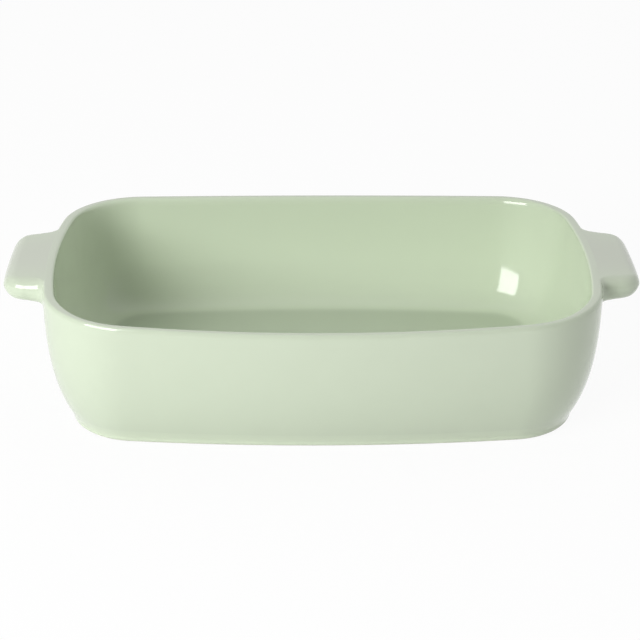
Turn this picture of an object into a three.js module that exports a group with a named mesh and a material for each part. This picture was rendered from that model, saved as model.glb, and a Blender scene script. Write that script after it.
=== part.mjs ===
// Rectangular stoneware baking dish: a pressed basin with bowed sides and a gently dipping rim, a foot
// ring under it, and a lug handle luted to each end wall. Millimetres, +Z up, X along the dish. The origin
// is on the table, under the middle of the dish.
import * as THREE from "three";

// Basin, seen from above
const BODY_LENGTH = 353.4; // over the end walls, at the rim
const BODY_WIDTH = 231.7; // over the long walls, at the rim
const CORNER_RADIUS = 57.5; // corners at the rim
const LONG_SIDE_BOW = 1084; // radius of the bowed long sides
const END_BOW = 427; // radius of the bowed ends

// Basin, in section
const RIM_HEIGHT = 88.5; // table to the crown of the rim, at the ends
const RIM_DIP = 4.2; // the rim is this much lower in the middle of the long sides
const WALL = 7.2; // wall at the rim
const WALL_BASE = 12; // it thickens evenly to this at the floor
const RIM_ROUND = 3; // outer edge of the rim
const RIM_ROLL_DROP = 2.2; // from the rim's crown the top rolls down by this to the crisp inner edge
const RIM_ROLL_TURN = 60; // degrees of an ellipse that the roll follows
const FLOOR = 6.5; // floor thickness
const WALL_DRAW = 36.8; // inward draw that the wall's curve tends to at its full depth
const CURVE_DEPTH = 1.134; // that full depth, as a share of the rim's height
const CURVE_START = 2.58; // how late the wall starts to turn in
const CURVE_END = 1.835; // how fast it turns in at the bottom
const LONG_SIDE_DRAW = 1.2; // the long walls draw in more than the ends by this factor
const CORNER_DRAW = 0.944; // and the corner radius shrinks by this share of the draw
const FLOOR_FILLET = 16; // height at which the inner wall starts to turn into the floor

// Foot ring
const FOOT_HEIGHT = 5;
const FOOT_STEP = 0.4; // the ring stands in from the wall's lower edge
const FOOT_ROUND = 3; // rounded outer edge on the table side
const FOOT_WIDTH = 11;

// Lug handles
const HANDLE_LENGTH = 84.5; // along the end wall, at the outer corners
const HANDLE_REACH = 24.6; // out from the wall
const HANDLE_THICKNESS = 16.6; // at the wall
const HANDLE_DROP = 0.8; // top of the root below the crown of the rim
const HANDLE_FALL = 1.3; // the top falls by this towards the tip
const HANDLE_RISE = 1.8; // and the underside rises
const HANDLE_EDGE = 8.1; // rounding of the edges, seen from above
const HANDLE_CORNER = 15; // outer corners, seen from above
const HANDLE_FLARE = 0.28; // the ends open towards the wall by this slope
const HANDLE_BOW = 700; // radius of the outer edge
const ROOT_FILLET = 3.5; // how far the handle spreads along the wall where it is luted on
const ROOT_EDGE = 0.5; // thickness of the fillet's edge on the wall
const JOINT_GAP = 0.3; // slip joint between handle and wall, and between foot and basin

// Facets
const SIDE_STEPS = 8; // along half a long side
const CORNER_STEPS = 9;
const END_STEPS = 7; // along half an end
const WALL_STEPS = 10;
const RIM_STEPS = 4; // round the rim's outer edge, and across its roll
const LUG_FLAT_STEPS = 8; // along the lug
const LUG_ROUND_STEPS = 6; // round its ends, an even number
const LUG_BACK_STEPS = 6; // up its back, an even number

const glaze = new THREE.MeshStandardMaterial({ color: 0xc8d6bd, roughness: 0.12, metalness: 0 });
const handleGlaze = new THREE.MeshStandardMaterial({ color: 0xccd3c3, roughness: 0.14, metalness: 0 });
const bareClay = new THREE.MeshStandardMaterial({ color: 0xd3d8c4, roughness: 0.6, metalness: 0 });

// Wall curve: how far the outer wall stands in from the rim's outline at height z.
function wallDraw(z) {
  const s = Math.min(Math.max((RIM_HEIGHT - z) / (CURVE_DEPTH * RIM_HEIGHT), 0), 1);
  return WALL_DRAW * (1 - (1 - s ** CURVE_START) ** (1 / CURVE_END));
}

// Half sizes and radii of the outline where the wall has drawn in by `draw` and a further even `inset`
// has been taken off, as a wall thickness or a rounding takes it.
function outlineSizes(draw, inset) {
  return {
    a: BODY_LENGTH / 2 - draw - inset,
    b: BODY_WIDTH / 2 - LONG_SIDE_DRAW * draw - inset,
    corner: Math.max(CORNER_RADIUS - CORNER_DRAW * draw - inset, 2),
    side: LONG_SIDE_BOW - draw - inset,
    end: END_BOW - draw - inset,
  };
}

function arc(cx, cy, radius, from, to, steps) {
  return Array.from({ length: steps }, (_, k) => {
    const t = from + ((to - from) * k) / steps;
    return new THREE.Vector2(cx + radius * Math.cos(t), cy + radius * Math.sin(t));
  });
}

// Bowed rounded rectangle, anticlockwise from the middle of the +X end: end arc, corner arc and long-side
// arc run into each other at common tangents. The corner's centre lies where the two bows, both shrunk by
// the corner radius, cross.
function outline(draw, inset) {
  const { a, b, corner, side, end } = outlineSizes(draw, inset);
  const endCentre = new THREE.Vector2(a - end, 0);
  const sideCentre = new THREE.Vector2(0, b - side);
  const r1 = side - corner;
  const r2 = end - corner;
  const between = endCentre.clone().sub(sideCentre);
  const distance = between.length();
  const along = (r1 * r1 - r2 * r2 + distance * distance) / (2 * distance);
  const across = Math.sqrt(Math.max(r1 * r1 - along * along, 0));
  const unit = between.divideScalar(distance);
  const c = sideCentre.clone().addScaledVector(unit, along);
  c.addScaledVector(new THREE.Vector2(unit.y, -unit.x), across);
  const endAngle = Math.atan2(c.y - endCentre.y, c.x - endCentre.x);
  const sideAngle = Math.atan2(c.y - sideCentre.y, c.x - sideCentre.x);
  const quarter = [
    ...arc(endCentre.x, endCentre.y, end, 0, endAngle, END_STEPS),
    ...arc(c.x, c.y, corner, endAngle, sideAngle, CORNER_STEPS),
    ...arc(sideCentre.x, sideCentre.y, side, sideAngle, Math.PI / 2, SIDE_STEPS),
    new THREE.Vector2(0, b),
  ];
  const mirrored = quarter.slice(0, -1).reverse();
  const half = [...quarter, ...mirrored.map((p) => new THREE.Vector2(-p.x, p.y))];
  const under = half.slice(1, -1).reverse();
  return [...half, ...under.map((p) => new THREE.Vector2(p.x, -p.y))];
}

// The rim dips towards the middle of the long sides; the dip fades out down to the floor.
function dipped(x, z) {
  const low = FOOT_HEIGHT + FLOOR;
  const share = Math.min(Math.max((z - low) / (RIM_HEIGHT - low), 0), 1);
  return z - RIM_DIP * share * (1 - ((2 * x) / BODY_LENGTH) ** 2);
}

function ring(draw, inset, z) {
  return outline(draw, inset).map((p) => new THREE.Vector3(p.x, p.y, dipped(p.x, z)));
}

// Skin over a stack of rings with equal counts. Each end is closed to a point, or the stack runs back into
// its first ring.
function loft(rings, { first, last, closed = false }) {
  const n = rings[0].length;
  const points = rings.flat();
  const faces = [];
  const stacks = closed ? rings.length : rings.length - 1;
  for (let i = 0; i < stacks; i++) {
    const low = i * n;
    const high = ((i + 1) % rings.length) * n;
    for (let j = 0; j < n; j++) {
      const k = (j + 1) % n;
      faces.push(low + j, low + k, high + k, low + j, high + k, high + j);
    }
  }
  const close = (cap, base, up) => {
    const centre = points.push(cap) - 1;
    for (let j = 0; j < n; j++) {
      const k = (j + 1) % n;
      faces.push(centre, base + (up ? j : k), base + (up ? k : j));
    }
  };
  if (!closed) {
    close(first, 0, false);
    close(last, (rings.length - 1) * n, true);
  }
  return solid(points, faces);
}

function solid(points, faces) {
  const geometry = new THREE.BufferGeometry().setFromPoints(points);
  geometry.setIndex(faces);
  geometry.computeVertexNormals();
  return geometry;
}

// Basin section, from the middle of the underside round the rim to the middle of the floor. The inner wall
// is the outer one moved in along its normal by the wall's thickness, which grows downwards, and a fillet
// turns it into the floor.
function basin() {
  const underside = FOOT_HEIGHT;
  const floorTop = FOOT_HEIGHT + FLOOR;
  const rimBase = RIM_HEIGHT - RIM_ROUND;
  const rings = [];
  for (let k = 0; k <= WALL_STEPS; k++) {
    const z = underside + (rimBase - underside) * (k / WALL_STEPS) ** 1.25;
    rings.push(ring(wallDraw(z), 0, z));
  }
  for (let k = 1; k <= RIM_STEPS; k++) {
    const t = (Math.PI / 2) * (k / RIM_STEPS);
    rings.push(ring(wallDraw(rimBase), RIM_ROUND * (1 - Math.cos(t)), rimBase + RIM_ROUND * Math.sin(t)));
  }
  const roll = THREE.MathUtils.degToRad(RIM_ROLL_TURN);
  for (let k = 1; k <= RIM_STEPS; k++) {
    const t = roll * (k / RIM_STEPS);
    const inset = RIM_ROUND + ((WALL - RIM_ROUND) * Math.sin(t)) / Math.sin(roll);
    const z = RIM_HEIGHT - (RIM_ROLL_DROP * (1 - Math.cos(t))) / (1 - Math.cos(roll));
    rings.push(ring(wallDraw(rimBase), inset, z));
  }
  const inner = [];
  for (let k = 0; k <= 60; k++) {
    const z = rimBase + (underside - rimBase) * (k / 60);
    const slope = wallDraw(z + 0.5) - wallDraw(z - 0.5);
    const length = Math.hypot(1, slope);
    const thickness = WALL + ((WALL_BASE - WALL) * (rimBase - z)) / (rimBase - floorTop);
    inner.push({ draw: wallDraw(z), inset: thickness / length, z: z - (thickness * slope) / length });
  }
  const wall = inner.filter((p) => p.z > floorTop + FLOOR_FILLET);
  for (let k = 0; k < WALL_STEPS - 2; k++) {
    const p = wall[Math.round(((wall.length - 1) * k) / (WALL_STEPS - 3))];
    rings.push(ring(p.draw, p.inset, p.z));
  }
  const [before, from] = wall.slice(-2);
  const fall = (from.z - floorTop) / (before.z - from.z);
  const corner = from.draw + from.inset + (from.draw + from.inset - before.draw - before.inset) * fall;
  const run = corner - from.draw - from.inset;
  const reach = Math.max(run, FLOOR_FILLET);
  for (let k = 1; k <= 5; k++) {
    const t = k / 5;
    const inset = (1 - t) ** 2 * from.inset + 2 * t * (1 - t) * (from.inset + run) + t * t * (from.inset + run + reach);
    const z = (1 - t) ** 2 * from.z + 2 * t * (1 - t) * floorTop + t * t * floorTop;
    rings.push(ring(from.draw, inset, z));
  }
  return loft(rings, { first: new THREE.Vector3(0, 0, underside), last: new THREE.Vector3(0, 0, floorTop) });
}

// Foot ring: a flat band under the basin, set in from the wall's lower edge so that a fine groove shows,
// with its outer edge rounded over towards the table.
function footRing() {
  const draw = wallDraw(FOOT_HEIGHT);
  const top = FOOT_HEIGHT - JOINT_GAP;
  const section = [[FOOT_STEP, top]];
  for (let k = 0; k <= 4; k++) {
    const t = (Math.PI / 2) * (k / 4);
    section.push([FOOT_STEP + FOOT_ROUND * (1 - Math.cos(t)), FOOT_ROUND * (1 - Math.sin(t))]);
  }
  section.push([FOOT_STEP + FOOT_WIDTH - 1, 0], [FOOT_STEP + FOOT_WIDTH, 1], [FOOT_STEP + FOOT_WIDTH, top]);
  const rings = section.map(([inset, z]) => ring(draw, inset, z)).reverse();
  return loft(rings, { closed: true });
}

// Point on the +X end wall's outer face and its outward normal, from the distance s up the wall's section:
// below rimBase s is the height, above it s runs round the rim.
function endWall(y, s) {
  const round = RIM_ROUND;
  const rimBase = RIM_HEIGHT - round;
  const turn = Math.max(s - rimBase, 0) / round;
  const z = Math.min(s, rimBase) + round * Math.sin(turn);
  const draw = wallDraw(Math.min(s, rimBase));
  const { a, end } = outlineSizes(draw, round - round * Math.cos(turn));
  const slope = turn > 0 ? 0 : wallDraw(s - 0.5) - wallDraw(s + 0.5);
  const x = a - end + Math.sqrt(end * end - y * y);
  const plan = new THREE.Vector2(x - a + end, y).normalize();
  const normal = new THREE.Vector3(plan.x * Math.cos(turn), plan.y * Math.cos(turn), Math.sin(turn) - slope);
  return { point: new THREE.Vector3(x, y, dipped(x, z)), normal: normal.normalize() };
}

// Lug handle on the +X end. Sections are slots with round ends, lofted outwards: the root lies on the end
// wall and the rim's outer round, a fillet leads from it to the lug, and the lug rounds off to its edge.
function lugHandle() {
  const wallX = BODY_LENGTH / 2;
  const rimBase = RIM_HEIGHT - RIM_ROUND;
  const rise = Math.asin(Math.max(1 - HANDLE_DROP / RIM_ROUND, 0));
  const topZ = rimBase + (RIM_ROUND + JOINT_GAP) * Math.sin(rise);
  const lowZ = topZ - HANDLE_THICKNESS;
  const tip = wallX + HANDLE_REACH;
  const cornerStart = tip - HANDLE_CORNER;
  const edgeStart = tip - HANDLE_EDGE;
  const slot = [];
  const flat = LUG_FLAT_STEPS;
  const turn = LUG_ROUND_STEPS;
  for (const sign of [1, -1]) {
    for (let k = 0; k < flat; k++) slot.push({ flat: sign * (2 * (k / flat) - 1), round: 0, up: -sign });
    for (let k = 0; k < turn; k++) {
      const t = -Math.PI / 2 + (Math.PI * k) / turn;
      slot.push({ flat: sign, round: sign * Math.cos(t), up: sign * Math.sin(t) });
    }
  }
  const halfLength = (x) => {
    const straight = HANDLE_LENGTH / 2 + HANDLE_FLARE * Math.max(cornerStart - x, 0);
    const past = Math.max(x - cornerStart, 0);
    return straight - HANDLE_CORNER + Math.sqrt(Math.max(HANDLE_CORNER ** 2 - past ** 2, 0));
  };
  const height = (x, up) => {
    const out = (x - wallX) / HANDLE_REACH;
    const top = topZ - HANDLE_FALL * out;
    const low = lowZ + HANDLE_RISE * out;
    const past = Math.max(x - edgeStart, 0) / HANDLE_EDGE;
    return (top + low) / 2 + up * ((top - low) / 2) * Math.sqrt(Math.max(1 - past * past, 0));
  };
  const section = (x) =>
    slot.map((p) => {
      const y = p.flat * (halfLength(x) - HANDLE_EDGE) + p.round * HANDLE_EDGE;
      return new THREE.Vector3(x - (y * y) / (2 * HANDLE_BOW), y, height(x, p.up));
    });

  // Root on the wall: the lug's section spread by the fillet, its upper edge on the rim's round.
  const rootTop = rimBase + RIM_ROUND * rise;
  const rootLow = lowZ - ROOT_FILLET;
  const rootMid = (rootTop + rootLow) / 2;
  const rootHalf = (rootTop - rootLow) / 2;
  const rootLength = halfLength(wallX) + ROOT_FILLET;
  const rootAt = (p, lift) => {
    const y = p.flat * (rootLength - HANDLE_EDGE) + p.round * HANDLE_EDGE;
    const { point, normal } = endWall(y, rootMid + p.up * rootHalf);
    return { point: point.clone().addScaledVector(normal, lift), normal };
  };
  const root = slot.map((p) => rootAt(p, JOINT_GAP).point);
  const edge = slot.map((p) => rootAt(p, JOINT_GAP + ROOT_EDGE));
  const start = section(wallX + ROOT_FILLET);
  const rings = [root, edge.map((e) => e.point)];
  for (const t of [0.3, 0.6, 0.85]) {
    rings.push(
      edge.map(({ point, normal }, j) => {
        // Where the wall's tangent plane meets the lug's side: the fillet's control point.
        const lug = start[j];
        const fallY = normal.y * (lug.y - point.y);
        const fallZ = normal.z * (lug.z - point.z);
        const x = Math.min(point.x - (fallY + fallZ) / Math.max(normal.x, 0.3), lug.x - 0.5);
        const control = new THREE.Vector3(x, lug.y, lug.z);
        return new THREE.QuadraticBezierCurve3(point, control, lug).getPoint(t);
      })
    );
  }
  rings.push(start);
  for (const turnAngle of [0, 22, 40, 54, 66, 76, 84]) {
    rings.push(section(cornerStart + HANDLE_CORNER * Math.sin((turnAngle * Math.PI) / 180)));
  }

  // The root's back follows the wall in rows, and the narrow tip is closed by a strip.
  const n = slot.length;
  const points = rings.flat();
  const faces = [];
  for (let i = 0; i < rings.length - 1; i++) {
    for (let j = 0; j < n; j++) {
      const k = (j + 1) % n;
      faces.push(i * n + j, i * n + k, (i + 1) * n + k, i * n + j, (i + 1) * n + k, (i + 1) * n + j);
    }
  }
  const half = n / 2;
  const opposite = (j) => (((half + flat - j) % n) + n) % n;
  const across = LUG_BACK_STEPS;
  const columns = [];
  for (let j = 0; j <= half; j++) {
    const low = (j - turn / 2 + n) % n;
    const high = opposite(low);
    if (low === high) {
      columns.push(Array(across + 1).fill(low));
      continue;
    }
    const column = [low];
    const from = rootMid + slot[low].up * rootHalf;
    const to = rootMid + slot[high].up * rootHalf;
    const bend = to > rimBase ? rimBase : (from + to) / 2;
    for (let k = 1; k < across; k++) {
      const t = (2 * k) / across;
      const s = t < 1 ? from + (bend - from) * t : bend + (to - bend) * (t - 1);
      const { point, normal } = endWall(root[low].y, s);
      column.push(points.push(point.addScaledVector(normal, JOINT_GAP)) - 1);
    }
    column.push(high);
    columns.push(column);
  }
  const tri = (a, b, c) => {
    if (a !== b && b !== c && a !== c) faces.push(a, b, c);
  };
  for (let j = 0; j < columns.length - 1; j++) {
    for (let k = 0; k < across; k++) {
      const [p, q, r, s] = [columns[j][k], columns[j + 1][k], columns[j + 1][k + 1], columns[j][k + 1]];
      tri(p, r, q);
      tri(p, s, r);
    }
  }
  const tipBase = (rings.length - 1) * n;
  for (let j = 0; j < half; j++) {
    const low = (j - turn / 2 + n) % n;
    const next = (low + 1) % n;
    const [p, q, r, s] = [low, next, opposite(next), opposite(low)].map((v) => tipBase + v);
    tri(p, q, r);
    tri(p, r, s);
  }
  return solid(points, faces);
}

const dish = new THREE.Group();

function add(name, geometry, material, turn = 0) {
  const mesh = new THREE.Mesh(geometry, material);
  mesh.name = name;
  mesh.rotation.z = turn;
  dish.add(mesh);
}

add("dish_body", basin(), glaze);
add("foot_ring", footRing(), bareClay);
add("handle_right", lugHandle(), handleGlaze);
add("handle_left", lugHandle(), handleGlaze, Math.PI);

export default dish;
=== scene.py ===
import bpy
import numpy as np
from mathutils import Matrix


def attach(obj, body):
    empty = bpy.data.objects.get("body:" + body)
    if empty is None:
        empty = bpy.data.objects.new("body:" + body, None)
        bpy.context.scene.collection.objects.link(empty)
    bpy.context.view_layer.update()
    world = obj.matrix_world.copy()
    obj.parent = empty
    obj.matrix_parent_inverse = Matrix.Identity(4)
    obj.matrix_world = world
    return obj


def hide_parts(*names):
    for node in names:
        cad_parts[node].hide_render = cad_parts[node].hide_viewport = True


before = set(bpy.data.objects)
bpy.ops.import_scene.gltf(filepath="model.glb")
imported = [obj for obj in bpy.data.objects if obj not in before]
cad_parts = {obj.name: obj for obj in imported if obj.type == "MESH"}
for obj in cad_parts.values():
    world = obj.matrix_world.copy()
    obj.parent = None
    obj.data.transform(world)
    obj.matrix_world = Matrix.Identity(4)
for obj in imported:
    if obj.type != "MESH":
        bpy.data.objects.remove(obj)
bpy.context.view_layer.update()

# Basin
# One deep bowl of pale stoneware, pressed over a mould: bowed sides, a wall that draws in towards the
# bottom and thickens there, and a rim that is rolled in softly and dips a little along the long sides.
MM = 0.001
BODY_LENGTH, BODY_WIDTH = 353.4, 231.7
CORNER_RADIUS, LONG_SIDE_BOW, END_BOW = 57.5, 1084.0, 427.0
RIM_HEIGHT, RIM_DIP, WALL, WALL_BASE, FLOOR = 88.5, 4.2, 7.2, 12.0, 6.5
RIM_INSET, RIM_DROP, ROLL_DEPTH = 2.2, 4.2, 5.2
WALL_DRAW, CURVE_DEPTH, CURVE_START, CURVE_END = 36.8, 1.134, 2.58, 1.835
LONG_SIDE_DRAW, CORNER_DRAW = 1.2, 0.944
FLOOR_FILLET = 16.0
FOOT_HEIGHT = 5.0
END_POINTS, CORNER_POINTS, SIDE_POINTS = 26, 30, 24
WALL_ROWS, INSIDE_ROWS, ROUND_ROWS, EASE_ROWS, FILLET_ROWS = 56, 90, 12, 10, 16
floor_top = FOOT_HEIGHT + FLOOR
rim_base = RIM_HEIGHT - RIM_DROP


def wall_draw(z):
    """How far the outer wall stands in from the rim's outline at height z: nothing near the rim, then a
    power of the depth that turns in ever faster."""
    depth = np.clip((RIM_HEIGHT - z) / (CURVE_DEPTH * RIM_HEIGHT), 0, 1)
    return WALL_DRAW * (1 - (1 - depth ** CURVE_START) ** (1 / CURVE_END))


def wall_slope(z):
    """Change of the wall's draw over one millimetre of height, half of it below z and half above."""
    return wall_draw(z + 0.5) - wall_draw(z - 0.5)


def bowed_outline(draw, inset):
    """Bowed rounded rectangles, one row for each draw and inset, once round from the middle of the +X end.
    Each end and long side is a wide arc, and a corner arc is tangent to both: its centre lies where the two
    wide arcs, shrunk by the corner radius, cross."""
    draw, inset = np.broadcast_arrays(np.asarray(draw, float), np.asarray(inset, float))
    draw, inset = draw[:, None], inset[:, None]
    half_width = BODY_WIDTH / 2 - LONG_SIDE_DRAW * draw - inset
    corner = CORNER_RADIUS - CORNER_DRAW * draw - inset
    side, end = LONG_SIDE_BOW - draw - inset, END_BOW - draw - inset
    end_x = BODY_LENGTH / 2 - draw - inset - end
    side_y = half_width - side
    gap = np.hypot(end_x, side_y)
    along = ((side - corner) ** 2 - (end - corner) ** 2 + gap ** 2) / (2 * gap)
    across = np.sqrt((side - corner) ** 2 - along ** 2)
    corner_x = (end_x * along - side_y * across) / gap
    corner_y = side_y - (side_y * along + end_x * across) / gap
    end_turn = np.arctan2(corner_y, corner_x - end_x)
    side_turn = np.arctan2(corner_y - side_y, corner_x)
    share = [np.linspace(0, 1, n, endpoint=False) for n in (END_POINTS, CORNER_POINTS, SIDE_POINTS)]
    on_end = end_turn * share[0]
    on_corner = end_turn + (side_turn - end_turn) * share[1]
    on_side = side_turn + (np.pi / 2 - side_turn) * share[2]
    x = np.hstack([end_x + end * np.cos(on_end), corner_x + corner * np.cos(on_corner),
                   side * np.cos(on_side)])
    y = np.hstack([end * np.sin(on_end), corner_y + corner * np.sin(on_corner),
                   side_y + side * np.sin(on_side)])
    x = np.hstack([x, 0 * half_width, -x[:, ::-1]])
    y = np.hstack([y, half_width, y[:, ::-1]])
    return np.hstack([x, x[:, -2:0:-1]]), np.hstack([y, -y[:, -2:0:-1]])


def rim_dip(x, z):
    """How far the dip of the rim lowers a point: most at the middle of the long sides, along a parabola in x
    to nothing at the ends, and fading out evenly from the rim down to the floor."""
    share = np.clip((z - floor_top) / (RIM_HEIGHT - floor_top), 0, 1)
    return RIM_DIP * share * (1 - (2 * x / BODY_LENGTH) ** 2)


def basin_rings(draw, inset, z):
    """Bowed outlines at the heights z, lowered by the dip of the rim."""
    x, y = bowed_outline(draw, inset)
    z = np.asarray(z, float)[:, None]
    return np.stack([x, y, z - rim_dip(x, z)], -1)


def parabola(share, start, corner, end):
    """Points on a parabola that leaves start towards corner and comes into end from it."""
    return (1 - share) ** 2 * start + 2 * share * (1 - share) * corner + share ** 2 * end


def skin(name, rings, poles=(), caps=(), closed=False, marks=()):
    """Mesh over a stack of rings in millimetres, anticlockwise as seen from the last one. The first and last
    ring are closed by a fan to a pole or by cap faces, or the stack runs back into its first ring. Marks are
    values for each point of the rings, kept as attributes."""
    rows, n = rings.shape[:2]
    points = np.vstack([rings.reshape(-1, 3), *[np.reshape(p, (1, 3)) for p in poles]]) * MM
    index = np.arange(rows * n).reshape(rows, n)
    low, high = (index, np.roll(index, -1, 0)) if closed else (index[:-1], index[1:])
    faces = np.stack([low, np.roll(low, -1, 1), np.roll(high, -1, 1), high], -1).reshape(-1, 4).tolist()
    if poles:
        first, last = index[0], index[-1]
        faces += np.stack([np.full(n, rows * n), np.roll(first, -1), first], -1).tolist()
        faces += np.stack([np.full(n, rows * n + 1), last, np.roll(last, -1)], -1).tolist()
    faces += caps
    mesh = bpy.data.meshes.new(name)
    mesh.from_pydata(points.tolist(), [], faces)
    mesh.polygons.foreach_set("use_smooth", np.ones(len(mesh.polygons), bool))
    for mark, values in marks:
        values = np.concatenate([values.ravel(), [values[0, 0], values[-1, 0]][:len(poles)]])
        mesh.attributes.new(mark, "FLOAT", "POINT").data.foreach_set("value", values.astype(np.float32))
    mesh.update()
    piece = bpy.data.objects.new(name, mesh)
    bpy.context.collection.objects.link(piece)
    return piece


# The inside follows the outer wall, at right angles to it, at a thickness that grows towards the floor.
outer_z = FOOT_HEIGHT + (rim_base - FOOT_HEIGHT) * np.linspace(0, 1, WALL_ROWS)
inner_from = np.linspace(rim_base, FOOT_HEIGHT, INSIDE_ROWS)
inner_slope = wall_slope(inner_from)
inner_length = np.hypot(1, inner_slope)
thickness = WALL + (WALL_BASE - WALL) * (rim_base - inner_from) / (rim_base - floor_top)
inner_z = inner_from - thickness * inner_slope / inner_length
inner = np.stack([wall_draw(inner_from), thickness / inner_length, inner_z])
inner = inner[:, (inner_z > floor_top + FLOOR_FILLET) & (inner_z < RIM_HEIGHT - ROLL_DEPTH)]
wall_top = np.array([inner[:2, 0].sum() - wall_draw(rim_base), inner[2, 0]])
wall_way = np.array([inner[:2, 1].sum() - inner[:2, 0].sum(), inner[2, 1] - inner[2, 0]])

# Below, the inside wall runs into the floor along a parabola.
wall_end, before_end = inner[:, -1], inner[:, -2]
run = (wall_end - before_end)[:2].sum() * (wall_end[2] - floor_top) / (before_end[2] - wall_end[2])
bend = np.linspace(0, 1, FILLET_ROWS + 1)[1:]
fillet_corner = wall_end[1] + run
fillet_inset = parabola(bend, wall_end[1], fillet_corner, fillet_corner + max(run, FLOOR_FILLET))
fillet_z = parabola(bend, wall_end[2], floor_top, floor_top)


def rim_section(crown, roll, turn):
    """Section of the rim, as insets and heights: a quarter ellipse outside, a flat crown and a round that
    turns inwards. A parabola goes on from there into the inside wall, along the wall's own slope."""
    outside = np.linspace(0, np.pi / 2, ROUND_ROWS + 1)[1:]
    inwards = turn * np.linspace(0, 1, ROUND_ROWS + 1)
    end = np.array([crown + roll * np.sin(turn), RIM_HEIGHT - roll * (1 - np.cos(turn))])
    way = np.array([np.cos(turn), -np.sin(turn)])
    corner = end + np.linalg.solve(np.column_stack([way, wall_way]), wall_top - end)[0] * way
    eased = parabola(np.linspace(0, 1, EASE_ROWS + 2)[1:-1, None], end, corner, wall_top)
    inset = np.r_[RIM_INSET * (1 - np.cos(outside)), crown + roll * np.sin(inwards), eased[:, 0]]
    z = np.r_[rim_base + RIM_DROP * np.sin(outside), RIM_HEIGHT - roll * (1 - np.cos(inwards)), eased[:, 1]]
    return inset, z


# The rim is rolled in softly along the long sides and round the corners. Its crown is flatter and wider at
# the ends, where it runs on into the lugs. Each rim is given by its crown, its roll and how far that turns.
SIDE_RIM = (3.3, 3.4, np.radians(63))
END_RIM = (5.5, 1.6, np.radians(82))
END_RIM_FROM, END_RIM_EASE = 0.8, 0.14
THIN_EDGE, THIN_FADE, INSIDE_FADE = 1.0, 1.2, 1.8
sections = []
for crown, roll, turn in (SIDE_RIM, END_RIM):
    rim_inset, rim_z = rim_section(crown, roll, turn)
    rim_draw = np.full(len(rim_z), wall_draw(rim_base))
    profile_draw = np.r_[wall_draw(outer_z), rim_draw, inner[0], np.full(FILLET_ROWS, wall_end[0])]
    profile_inset = np.r_[np.zeros(WALL_ROWS), rim_inset, inner[1], fillet_inset]
    profile_z = np.r_[outer_z, rim_z, inner[2], fillet_z]
    past_outside = np.clip((profile_inset - THIN_EDGE) / THIN_FADE, 0, 1)
    before_inside = np.clip((crown + THIN_EDGE - profile_inset) / THIN_FADE, 0, 1)
    inside = np.clip((profile_inset - crown) / INSIDE_FADE, 0, 1)
    sections.append((basin_rings(profile_draw, profile_inset, profile_z),
                     (past_outside * before_inside)[:, None], inside[:, None]))
(side_rings, side_crown, side_inside), (end_rings, end_crown, end_inside) = sections
at_end = np.clip((np.abs(side_rings[..., 0]) / (BODY_LENGTH / 2) - END_RIM_FROM) / END_RIM_EASE, 0, 1)
at_end = at_end ** 2 * (3 - 2 * at_end)
rings = side_rings + at_end[..., None] * (end_rings - side_rings)
crown_mark = side_crown + at_end * (end_crown - side_crown)
inside_mark = side_inside + at_end * (end_inside - side_inside)

# The underside and the floor are flat, in rings that shrink towards their middle.
flat_share = np.array([0.8, 0.55, 0.3])
shrink = np.stack([flat_share, flat_share, np.ones(len(flat_share))], -1)[:, None]
rings = np.vstack([rings[:1] * shrink[::-1], rings, rings[-1:] * shrink])

# The glaze lies thin on the rim's crown, which is also darkened there as painted shade. Inside, the wall is
# given a lighter green as painted light, and the floor is darker, partly pooled glaze and partly painted
# shade, where the two profiles have the same heights.
CROWN_THIN_AND_SHADE, POOL_SHADE_SHARE, POOL_SHADE_DEPTH = 0.4, 0.65, 0.7
pool_and_shade = inside_mark * np.exp(-((profile_z[:, None] - floor_top) / POOL_SHADE_DEPTH) ** 2)
unmarked = np.zeros((len(flat_share), rings.shape[1]))
thin_glaze_and_shade = np.vstack([unmarked, CROWN_THIN_AND_SHADE * crown_mark, unmarked])
inside_painted_light = np.vstack([unmarked, inside_mark - pool_and_shade, unmarked])
pooled_glaze_and_shade = np.vstack([unmarked, POOL_SHADE_SHARE * pool_and_shade, unmarked + POOL_SHADE_SHARE])
basin = skin("basin", rings, [(0, 0, FOOT_HEIGHT), (0, 0, floor_top)],
             marks=[("thin_glaze_and_shade", thin_glaze_and_shade), ("inside_painted_light", inside_painted_light), ("pooled_glaze_and_shade", pooled_glaze_and_shade)])

# Celadon glaze: a glossy, slightly uneven glass coat over pale clay, greyer where it is thin and darkened
# there on the tops as painted shade. Inside, a lighter, greener colour on the wall is painted light; on the
# floor a deeper green is partly pooled glaze and partly painted shade.
GLAZE_GREEN = (0.59, 0.665, 0.52, 1)
GLAZE_THIN_AND_SHADE = (0.55, 0.58, 0.495, 1)
GLAZE_INSIDE_PAINTED_LIGHT = (0.64, 0.727, 0.555, 1)
GLAZE_POOL_AND_SHADE = (0.475, 0.555, 0.41, 1)
CLOUD_SCALE, MOTTLE_SCALE, GLOSS_SCALE, RIPPLE_SCALE = 14, 55, 40, 26


def spread(tree, value, before, after):
    """Node output that goes evenly over the range after, while value goes over the range before."""
    node = tree.nodes.new("ShaderNodeMapRange")
    for socket, number in zip(("From Min", "From Max", "To Min", "To Max"), (*before, *after)):
        node.inputs[socket].default_value = number
    tree.links.new(value, node.inputs["Value"])
    return node.outputs["Result"]


def plain_material(name):
    """New material, with its node tree and its shader."""
    material = bpy.data.materials.new(name)
    material.use_nodes = True
    return material, material.node_tree, material.node_tree.nodes["Principled BSDF"]


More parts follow.
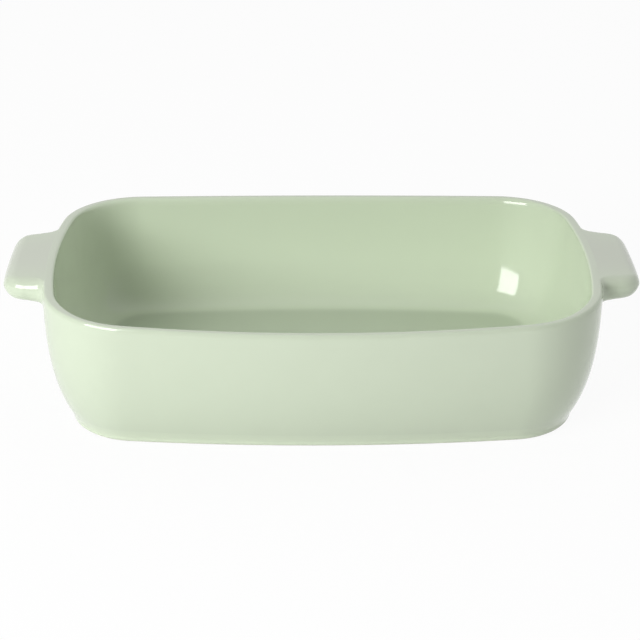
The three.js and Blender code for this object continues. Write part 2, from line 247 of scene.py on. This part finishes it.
def celadon_glaze_material():
    """Two greens in soft clouds with finer mottling, tinted by the marks: painted light on the inside wall,
    pooled glaze and painted shade on the floor, and thin glaze and painted shade on the crown and the lug
    tops. Gloss and surface are uneven by noise of their own."""
    material, tree, shader = plain_material("celadon_glaze")
    nodes, links = tree.nodes, tree.links
    place = nodes.new("ShaderNodeTexCoord").outputs["Object"]

    def mark(attribute):
        """One of the piece's marks."""
        node = nodes.new("ShaderNodeAttribute")
        node.attribute_name = attribute
        return node.outputs["Fac"]

    def noise(scale, detail):
        """Soft noise through the piece's space."""
        node = nodes.new("ShaderNodeTexNoise")
        node.inputs["Scale"].default_value = scale
        node.inputs["Detail"].default_value = detail
        links.new(place, node.inputs["Vector"])
        return node.outputs["Fac"]

    def tint(share, first, second):
        """The first colour, with a share of the second over it."""
        node = nodes.new("ShaderNodeMix")
        node.data_type = "RGBA"
        inputs = {socket.identifier: socket for socket in node.inputs}
        for target, value in (("A_Color", first), ("B_Color", second)):
            if isinstance(value, tuple):
                inputs[target].default_value = value
            else:
                links.new(value, inputs[target])
        links.new(share, inputs["Factor_Float"])
        return next(socket for socket in node.outputs if socket.identifier == "Result_Color")

    clouds = spread(tree, noise(CLOUD_SCALE, 3), (0, 1), (-0.15, 0.75))
    mottling = spread(tree, noise(MOTTLE_SCALE, 2), (0, 1), (0, 0.25))
    # The deeper green used for pooled glaze and painted shade also forms the soft clouds over the whole
    # glaze.
    even = tint(mottling, GLAZE_GREEN, tint(clouds, GLAZE_GREEN, GLAZE_POOL_AND_SHADE))
    lit_inside_and_pooled = tint(mark("pooled_glaze_and_shade"), tint(mark("inside_painted_light"), even, GLAZE_INSIDE_PAINTED_LIGHT), GLAZE_POOL_AND_SHADE)
    links.new(tint(mark("thin_glaze_and_shade"), lit_inside_and_pooled, GLAZE_THIN_AND_SHADE), shader.inputs["Base Color"])
    links.new(spread(tree, noise(GLOSS_SCALE, 2), (0, 1), (0.06, 0.13)), shader.inputs["Roughness"])
    shader.inputs["IOR"].default_value = 1.52
    ripple = nodes.new("ShaderNodeBump")
    ripple.inputs["Strength"].default_value = 0.1
    ripple.inputs["Distance"].default_value = 0.0012
    links.new(noise(RIPPLE_SCALE, 2), ripple.inputs["Height"])
    links.new(ripple.outputs["Normal"], shader.inputs["Normal"])
    return material


celadon = celadon_glaze_material()
basin.data.materials.append(celadon)
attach(basin, "root")
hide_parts("dish_body")

# Foot ring
# A low ring of the same clay under the basin. Its outer face is upright under the curved wall, its lower
# edge is rounded over, and its standing face is wiped bare of glaze before the firing.
FOOT_STEP, FOOT_ROUND, FOOT_WIDTH, FOOT_BLEND = 0.1, 3.0, 11.3, 6.0
FOOT_INNER_EDGE, FOOT_TUCK, TUCK_RISE, GLAZE_FILM = 1.0, 2.0, 1.0, 0.03
FOOT_ROWS, BLEND_ROWS = 11, 16

# Above the upright face, glaze fills the joint: a parabola that leaves the wall along its slope.
foot_draw = wall_draw(FOOT_HEIGHT) + FOOT_STEP
blend_top = FOOT_HEIGHT + FOOT_BLEND
blend_turn = blend_top + (foot_draw - wall_draw(blend_top)) / wall_slope(blend_top)
along_blend = np.linspace(0, 1, BLEND_ROWS)
blend_draw = parabola(along_blend, wall_draw(blend_top) + GLAZE_FILM, foot_draw, foot_draw)
blend_z = parabola(along_blend, blend_top, blend_turn, FOOT_ROUND)

# The section goes on round the lower edge, over the standing face and up the inner side, and closes inside
# the basin's clay.
foot_turn = np.linspace(0, np.pi / 2, FOOT_ROWS + 1)[1:]
foot_side = FOOT_STEP + FOOT_WIDTH
inner_edge = FOOT_INNER_EDGE * np.array([1, 0.3, 0])
foot_inset = np.r_[FOOT_STEP + FOOT_ROUND * (1 - np.cos(foot_turn)), foot_side - inner_edge, foot_side,
                   FOOT_TUCK, FOOT_TUCK]
foot_z = np.r_[FOOT_ROUND * (1 - np.sin(foot_turn)), inner_edge[::-1], FOOT_HEIGHT,
               FOOT_HEIGHT, FOOT_HEIGHT + TUCK_RISE]
foot_rings = np.vstack([basin_rings(blend_draw, 0, blend_z),
                        basin_rings(np.full(len(foot_z), wall_draw(FOOT_HEIGHT)), foot_inset, foot_z)])
foot = skin("foot", foot_rings[::-1], closed=True)

# Glaze that thins out down the foot and ends near the standing face, where a sponge has taken it off and
# pale, dry clay shows. Towards its lower edge the foot is painted lighter, partly thin glaze and partly
# painted light.
BARE_CLAY = (0.68, 0.66, 0.58, 1)
FOOT_THIN_GLAZE_AND_LIGHT = (0.64, 0.715, 0.56, 1)
CLAY_SHARE, EDGE_SHARE = 0.04, 0.13
WIPED_LOW, WIPED_HIGH = 0.4, 1.4


def wiped_glaze_material():
    """Colour and gloss by the height on the foot: dry clay at the bottom, then a lighter edge of thin glaze
    that is partly painted light, then the full glaze where the foot meets the wall."""
    material, tree, shader = plain_material("wiped_glaze")
    nodes, links = tree.nodes, tree.links
    place = nodes.new("ShaderNodeSeparateXYZ")
    links.new(nodes.new("ShaderNodeTexCoord").outputs["Object"], place.inputs["Vector"])
    shade = nodes.new("ShaderNodeValToRGB")
    shade.color_ramp.elements[0].position = CLAY_SHARE
    shade.color_ramp.elements[0].color = BARE_CLAY
    shade.color_ramp.elements[1].color = GLAZE_GREEN
    shade.color_ramp.elements.new(EDGE_SHARE).color = FOOT_THIN_GLAZE_AND_LIGHT
    links.new(spread(tree, place.outputs["Z"], (0, blend_top * MM), (0, 1)), shade.inputs["Fac"])
    links.new(shade.outputs["Color"], shader.inputs["Base Color"])
    gloss = spread(tree, place.outputs["Z"], (WIPED_LOW * MM, WIPED_HIGH * MM), (0.7, 0.12))
    links.new(gloss, shader.inputs["Roughness"])
    return material


foot.data.materials.append(wiped_glaze_material())
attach(foot, "root")
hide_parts("foot_ring")

# Lug handles
# A thick flat lug of clay on each end wall, level with the rim, luted on with slip and smoothed into the
# wall and the rim by hand. The top is flat and bare, and all edges are rounded over.
HANDLE_LENGTH, HANDLE_REACH, HANDLE_THICKNESS, HANDLE_DROP = 84.5, 24.6, 16.8, 0.25
HANDLE_FALL, HANDLE_RISE = 1.3, 1.8
HANDLE_EDGE, HANDLE_CORNER, HANDLE_FLARE, HANDLE_BOW = 8.1, 15.0, 0.28, 700.0
ROOT_FILLET, ROOT_SINK, ROOT_DEPTH = 3.5, 0.02, 1.6
FLAT_POINTS, TURN_POINTS = 36, 24
ROOT_ROWS, TIP_ROWS, TIP_TURN = 16, 26, np.radians(89.2)


def end_wall(y, s):
    """Points and outward normals on the +X end wall for a distance y along it and s up its section: s is the
    height below the rim's round, and runs round it above."""
    turn = np.maximum(s - rim_base, 0) / RIM_DROP
    inset = RIM_INSET - RIM_INSET * np.cos(turn)
    draw = wall_draw(np.minimum(s, rim_base))
    end = END_BOW - draw - inset
    x = BODY_LENGTH / 2 - draw - inset - end + np.sqrt(end ** 2 - y ** 2)
    z = np.minimum(s, rim_base) + RIM_DROP * np.sin(turn)
    across = np.stack([np.sqrt(end ** 2 - y ** 2), y], -1) / end[:, None]
    up = np.sin(turn) * RIM_INSET / RIM_DROP + np.where(turn > 0, 0, wall_slope(s))
    normal = np.hstack([across * np.cos(turn)[:, None], up[:, None]])
    return np.stack([x, y, z - rim_dip(x, z)], -1), normal / np.linalg.norm(normal, axis=-1, keepdims=True)


def lug_section(x, slot):
    """Slot-shaped cross sections of the lug, one row for each distance x: a flat top and bottom with round
    ends, narrowing along the corner arc and thinning along the edge's round."""
    flat, round_, up = slot
    x = np.asarray(x, float)[:, None]
    tip = BODY_LENGTH / 2 + HANDLE_REACH
    corner_start, edge_start = tip - HANDLE_CORNER, tip - HANDLE_EDGE
    past_corner = np.maximum(x - corner_start, 0)
    half_length = (HANDLE_LENGTH / 2 + HANDLE_FLARE * np.maximum(corner_start - x, 0) - HANDLE_CORNER
                   + np.sqrt(np.maximum(HANDLE_CORNER ** 2 - past_corner ** 2, 0)))
    past_edge = np.maximum(x - edge_start, 0) / HANDLE_EDGE
    out = (x - BODY_LENGTH / 2) / HANDLE_REACH
    top = RIM_HEIGHT - HANDLE_DROP - HANDLE_FALL * out
    low = RIM_HEIGHT - HANDLE_DROP - HANDLE_THICKNESS + HANDLE_RISE * out
    y = flat * (half_length - HANDLE_EDGE) + round_ * HANDLE_EDGE
    z = (top + low) / 2 + up * (top - low) / 2 * np.sqrt(np.maximum(1 - past_edge ** 2, 0))
    return np.stack([x - y ** 2 / (2 * HANDLE_BOW), y, z], -1)


# A slot is a share of the flat length, a share of the round's radius and a share of half the thickness.
across_flat = np.linspace(-1, 1, FLAT_POINTS, endpoint=False)
round_turn = np.linspace(-np.pi / 2, np.pi / 2, TURN_POINTS, endpoint=False)
flat_part = np.stack([across_flat, np.zeros(FLAT_POINTS), -np.ones(FLAT_POINTS)])
round_part = np.stack([np.ones(TURN_POINTS), np.cos(round_turn), np.sin(round_turn)])
slot = np.hstack([flat_part, round_part, -flat_part, -round_part])

# The root is a larger slot drawn on the end wall, up to the crown of the rim.
root_top = rim_base + RIM_DROP * np.pi / 2
root_low = RIM_HEIGHT - HANDLE_DROP - HANDLE_THICKNESS - ROOT_FILLET
root_s = (root_top + root_low) / 2 + slot[2] * (root_top - root_low) / 2
root_half = HANDLE_LENGTH / 2 + HANDLE_FLARE * (HANDLE_REACH - HANDLE_CORNER) + ROOT_FILLET
root_y = slot[0] * (root_half - HANDLE_EDGE) + slot[1] * HANDLE_EDGE
on_wall, wall_normal = end_wall(root_y, root_s)
root = on_wall - ROOT_SINK * wall_normal
inner_root = on_wall - ROOT_DEPTH * wall_normal

# The fillet is a parabola from the wall to the lug: its corner lies back along the lug's own side, where
# that meets the wall's tangent plane. A first narrow row keeps the shading of the seam to itself.
SEAM_ROW, LEAST_BACK, LEAST_SLOPE = 0.015, 0.5, 0.2
lug_start = lug_section([BODY_LENGTH / 2 + ROOT_FILLET], slot)[0]
side_way = lug_start - lug_section([BODY_LENGTH / 2 + ROOT_FILLET - 1], slot)[0]
back_by = (((lug_start - root) * wall_normal).sum(1)
           / np.maximum((side_way * wall_normal).sum(1), LEAST_SLOPE))
root_corner = lug_start - np.maximum(back_by, LEAST_BACK)[:, None] * side_way
along_fillet = np.r_[0, SEAM_ROW, np.linspace(0, 1, ROOT_ROWS)[1:]][:, None, None]
fillet = parabola(along_fillet, root, root_corner, lug_start)
tip_turn = np.linspace(0, TIP_TURN, TIP_ROWS)
lug_x = BODY_LENGTH / 2 + HANDLE_REACH - HANDLE_CORNER + HANDLE_CORNER * np.sin(tip_turn)
lug = np.vstack([inner_root[None], fillet, lug_section(lug_x, slot)])

# A strip of faces closes the root, inside the wall, and another the narrow tip.
slot_points = slot.shape[1]
low_side = (np.arange(slot_points // 2 + 1) - TURN_POINTS // 2) % slot_points
high_side = (slot_points // 2 + FLAT_POINTS - low_side) % slot_points
strip = np.stack([low_side[:-1], low_side[1:], high_side[1:], high_side[:-1]], -1)
strips = np.vstack([strip[:, ::-1], strip + (len(lug) - 1) * slot_points])
lug_caps = [tuple(dict.fromkeys(face)) for face in strips.tolist()]

# The glaze lies thin on the top, and the top is also darkened there as painted shade, most of all along its
# middle.
LUG_THIN_AND_SHADE, LUG_THIN_FADE = 0.75, 0.6
lug_thin_and_shade = LUG_THIN_AND_SHADE * np.clip(slot[2], 0, 1) ** 2 * (1 - LUG_THIN_FADE * slot[0] ** 2)
lug_marks = [("thin_glaze_and_shade", lug_thin_and_shade * np.ones((len(lug), 1)))]
for handle_name, node, turn in (("right_lug", "handle_right", 1), ("left_lug", "handle_left", -1)):
    handle = skin(handle_name, lug * np.array([turn, turn, 1.0]), caps=lug_caps, marks=lug_marks)
    handle.data.materials.append(celadon)
    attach(handle, "root")
    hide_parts(node)

# Studio
# A white floor that runs out of sight and keeps the dish's shadow, a wide softbox low on the left in front,
# and a room that is white behind the dish and on its right, and dimmer on the softbox's side.
FLOOR_REACH, PAPER_GREY, SEEN_WHITE = 6, 0.92, 0.93
corners = np.array([(-1, -1, 0), (1, -1, 0), (1, 1, 0), (-1, 1, 0)]) * FLOOR_REACH
floor_mesh = bpy.data.meshes.new("studio_floor")
floor_mesh.from_pydata(corners.tolist(), [], [(0, 1, 2, 3)])
studio_floor = bpy.data.objects.new("studio_floor", floor_mesh)
bpy.context.collection.objects.link(studio_floor)


def largest(tree, values):
    """Node output with the largest of several values."""
    top = values[0]
    for value in values[1:]:
        node = tree.nodes.new("ShaderNodeMath")
        node.operation = "MAXIMUM"
        tree.links.new(top, node.inputs[0])
        tree.links.new(value, node.inputs[1])
        top = node.outputs[0]
    return top


paper, tree, paper_shader = plain_material("white_paper")
paper_shader.inputs["Base Color"].default_value = (PAPER_GREY, PAPER_GREY, PAPER_GREY, 1)
paper_shader.inputs["Roughness"].default_value = 0.9
white = tree.nodes.new("ShaderNodeEmission")
ray = tree.nodes.new("ShaderNodeLightPath").outputs
seen = largest(tree, [ray["Is Camera Ray"], ray["Is Glossy Ray"], ray["Is Transmission Ray"]])
mix = tree.nodes.new("ShaderNodeMixShader")
tree.links.new(spread(tree, seen, (0, 1), (0, SEEN_WHITE)), mix.inputs["Fac"])
tree.links.new(paper_shader.outputs[0], mix.inputs[1])
tree.links.new(white.outputs[0], mix.inputs[2])
tree.links.new(mix.outputs[0], tree.nodes["Material Output"].inputs["Surface"])
floor_mesh.materials.append(paper)

BRIGHT_WAY, BRIGHT_RANGE = (0.45, 0.85, 0.25), (-0.2, 0.7)
ROOM_RANGE, ROOM_LEVEL = (0.1, 1.0), (0.95, 1.0)
world = bpy.data.worlds.new("studio_room")
bpy.context.scene.world = world
world.use_nodes = True
tree = world.node_tree
room = tree.nodes["Background"]
room.inputs["Color"].default_value = (1, 1, 1, 1)
ray = tree.nodes.new("ShaderNodeLightPath").outputs
to_right_back = tree.nodes.new("ShaderNodeVectorMath")
to_right_back.operation = "DOT_PRODUCT"
to_right_back.inputs[1].default_value = BRIGHT_WAY
tree.links.new(tree.nodes.new("ShaderNodeTexCoord").outputs["Generated"], to_right_back.inputs[0])
mirrored = largest(tree, [ray["Is Glossy Ray"], ray["Is Transmission Ray"]])
lit = tree.nodes.new("ShaderNodeMath")
lit.operation = "MULTIPLY"
tree.links.new(spread(tree, to_right_back.outputs["Value"], BRIGHT_RANGE, ROOM_RANGE), lit.inputs[0])
tree.links.new(spread(tree, mirrored, (0, 1), ROOM_LEVEL), lit.inputs[1])
tree.links.new(largest(tree, [lit.outputs[0], ray["Is Camera Ray"]]), room.inputs["Strength"])

softbox_data = bpy.data.lights.new("softbox", "AREA")
softbox_data.shape = "RECTANGLE"
softbox_data.size, softbox_data.size_y = 1.3, 0.92
softbox_data.energy = 35
softbox = bpy.data.objects.new("softbox", softbox_data)
bpy.context.collection.objects.link(softbox)
LAMP_DISTANCE, LAMP_LEFT, LAMP_UP = 2.0, np.radians(41), np.radians(25.5)
dish_middle = np.array([0, 0, RIM_HEIGHT / 2 * MM])
back = np.array([-np.sin(LAMP_LEFT) * np.cos(LAMP_UP), -np.cos(LAMP_LEFT) * np.cos(LAMP_UP), np.sin(LAMP_UP)])
right = np.cross([0, 0, 1], back)
right /= np.linalg.norm(right)
turn_to_dish = np.column_stack([right, np.cross(back, right), back])
softbox_place = Matrix.Translation(dish_middle + LAMP_DISTANCE * back)
softbox.matrix_world = softbox_place @ Matrix(turn_to_dish.tolist()).to_4x4()

# Camera
# A long lens a little over a metre in front of the dish, looking down at it by about a quarter of a right
# angle, turned very slightly off its middle line.
FOCAL_PIXELS, FRAME_PIXELS, SENSOR = 1925.3, 640.0, 36.0
SHIFT_X_PIXELS, SHIFT_Y_PIXELS = -1.32, -4.23
DISTANCE, LOOK_DOWN, TURN, ROLL = 1.25572, np.radians(24.676), np.radians(1.164), np.radians(0.34)
camera_data = bpy.data.cameras.new("camera")
camera_data.sensor_width = SENSOR
camera_data.lens = FOCAL_PIXELS * SENSOR / FRAME_PIXELS
camera_data.shift_x = SHIFT_X_PIXELS / FRAME_PIXELS
camera_data.shift_y = SHIFT_Y_PIXELS / FRAME_PIXELS
camera_data.clip_end = 50
camera = bpy.data.objects.new("camera", camera_data)
bpy.context.collection.objects.link(camera)
bpy.context.scene.camera = camera
away = np.array([-np.sin(TURN) * np.cos(LOOK_DOWN), -np.cos(TURN) * np.cos(LOOK_DOWN), np.sin(LOOK_DOWN)])
aim = (Matrix.Rotation(-TURN, 4, "Z") @ Matrix.Rotation(np.pi / 2 - LOOK_DOWN, 4, "X")
       @ Matrix.Rotation(ROLL, 4, "Z"))
camera.matrix_world = Matrix.Translation(dish_middle + DISTANCE * away) @ aim

bpy.context.scene.view_settings.view_transform = "Standard"
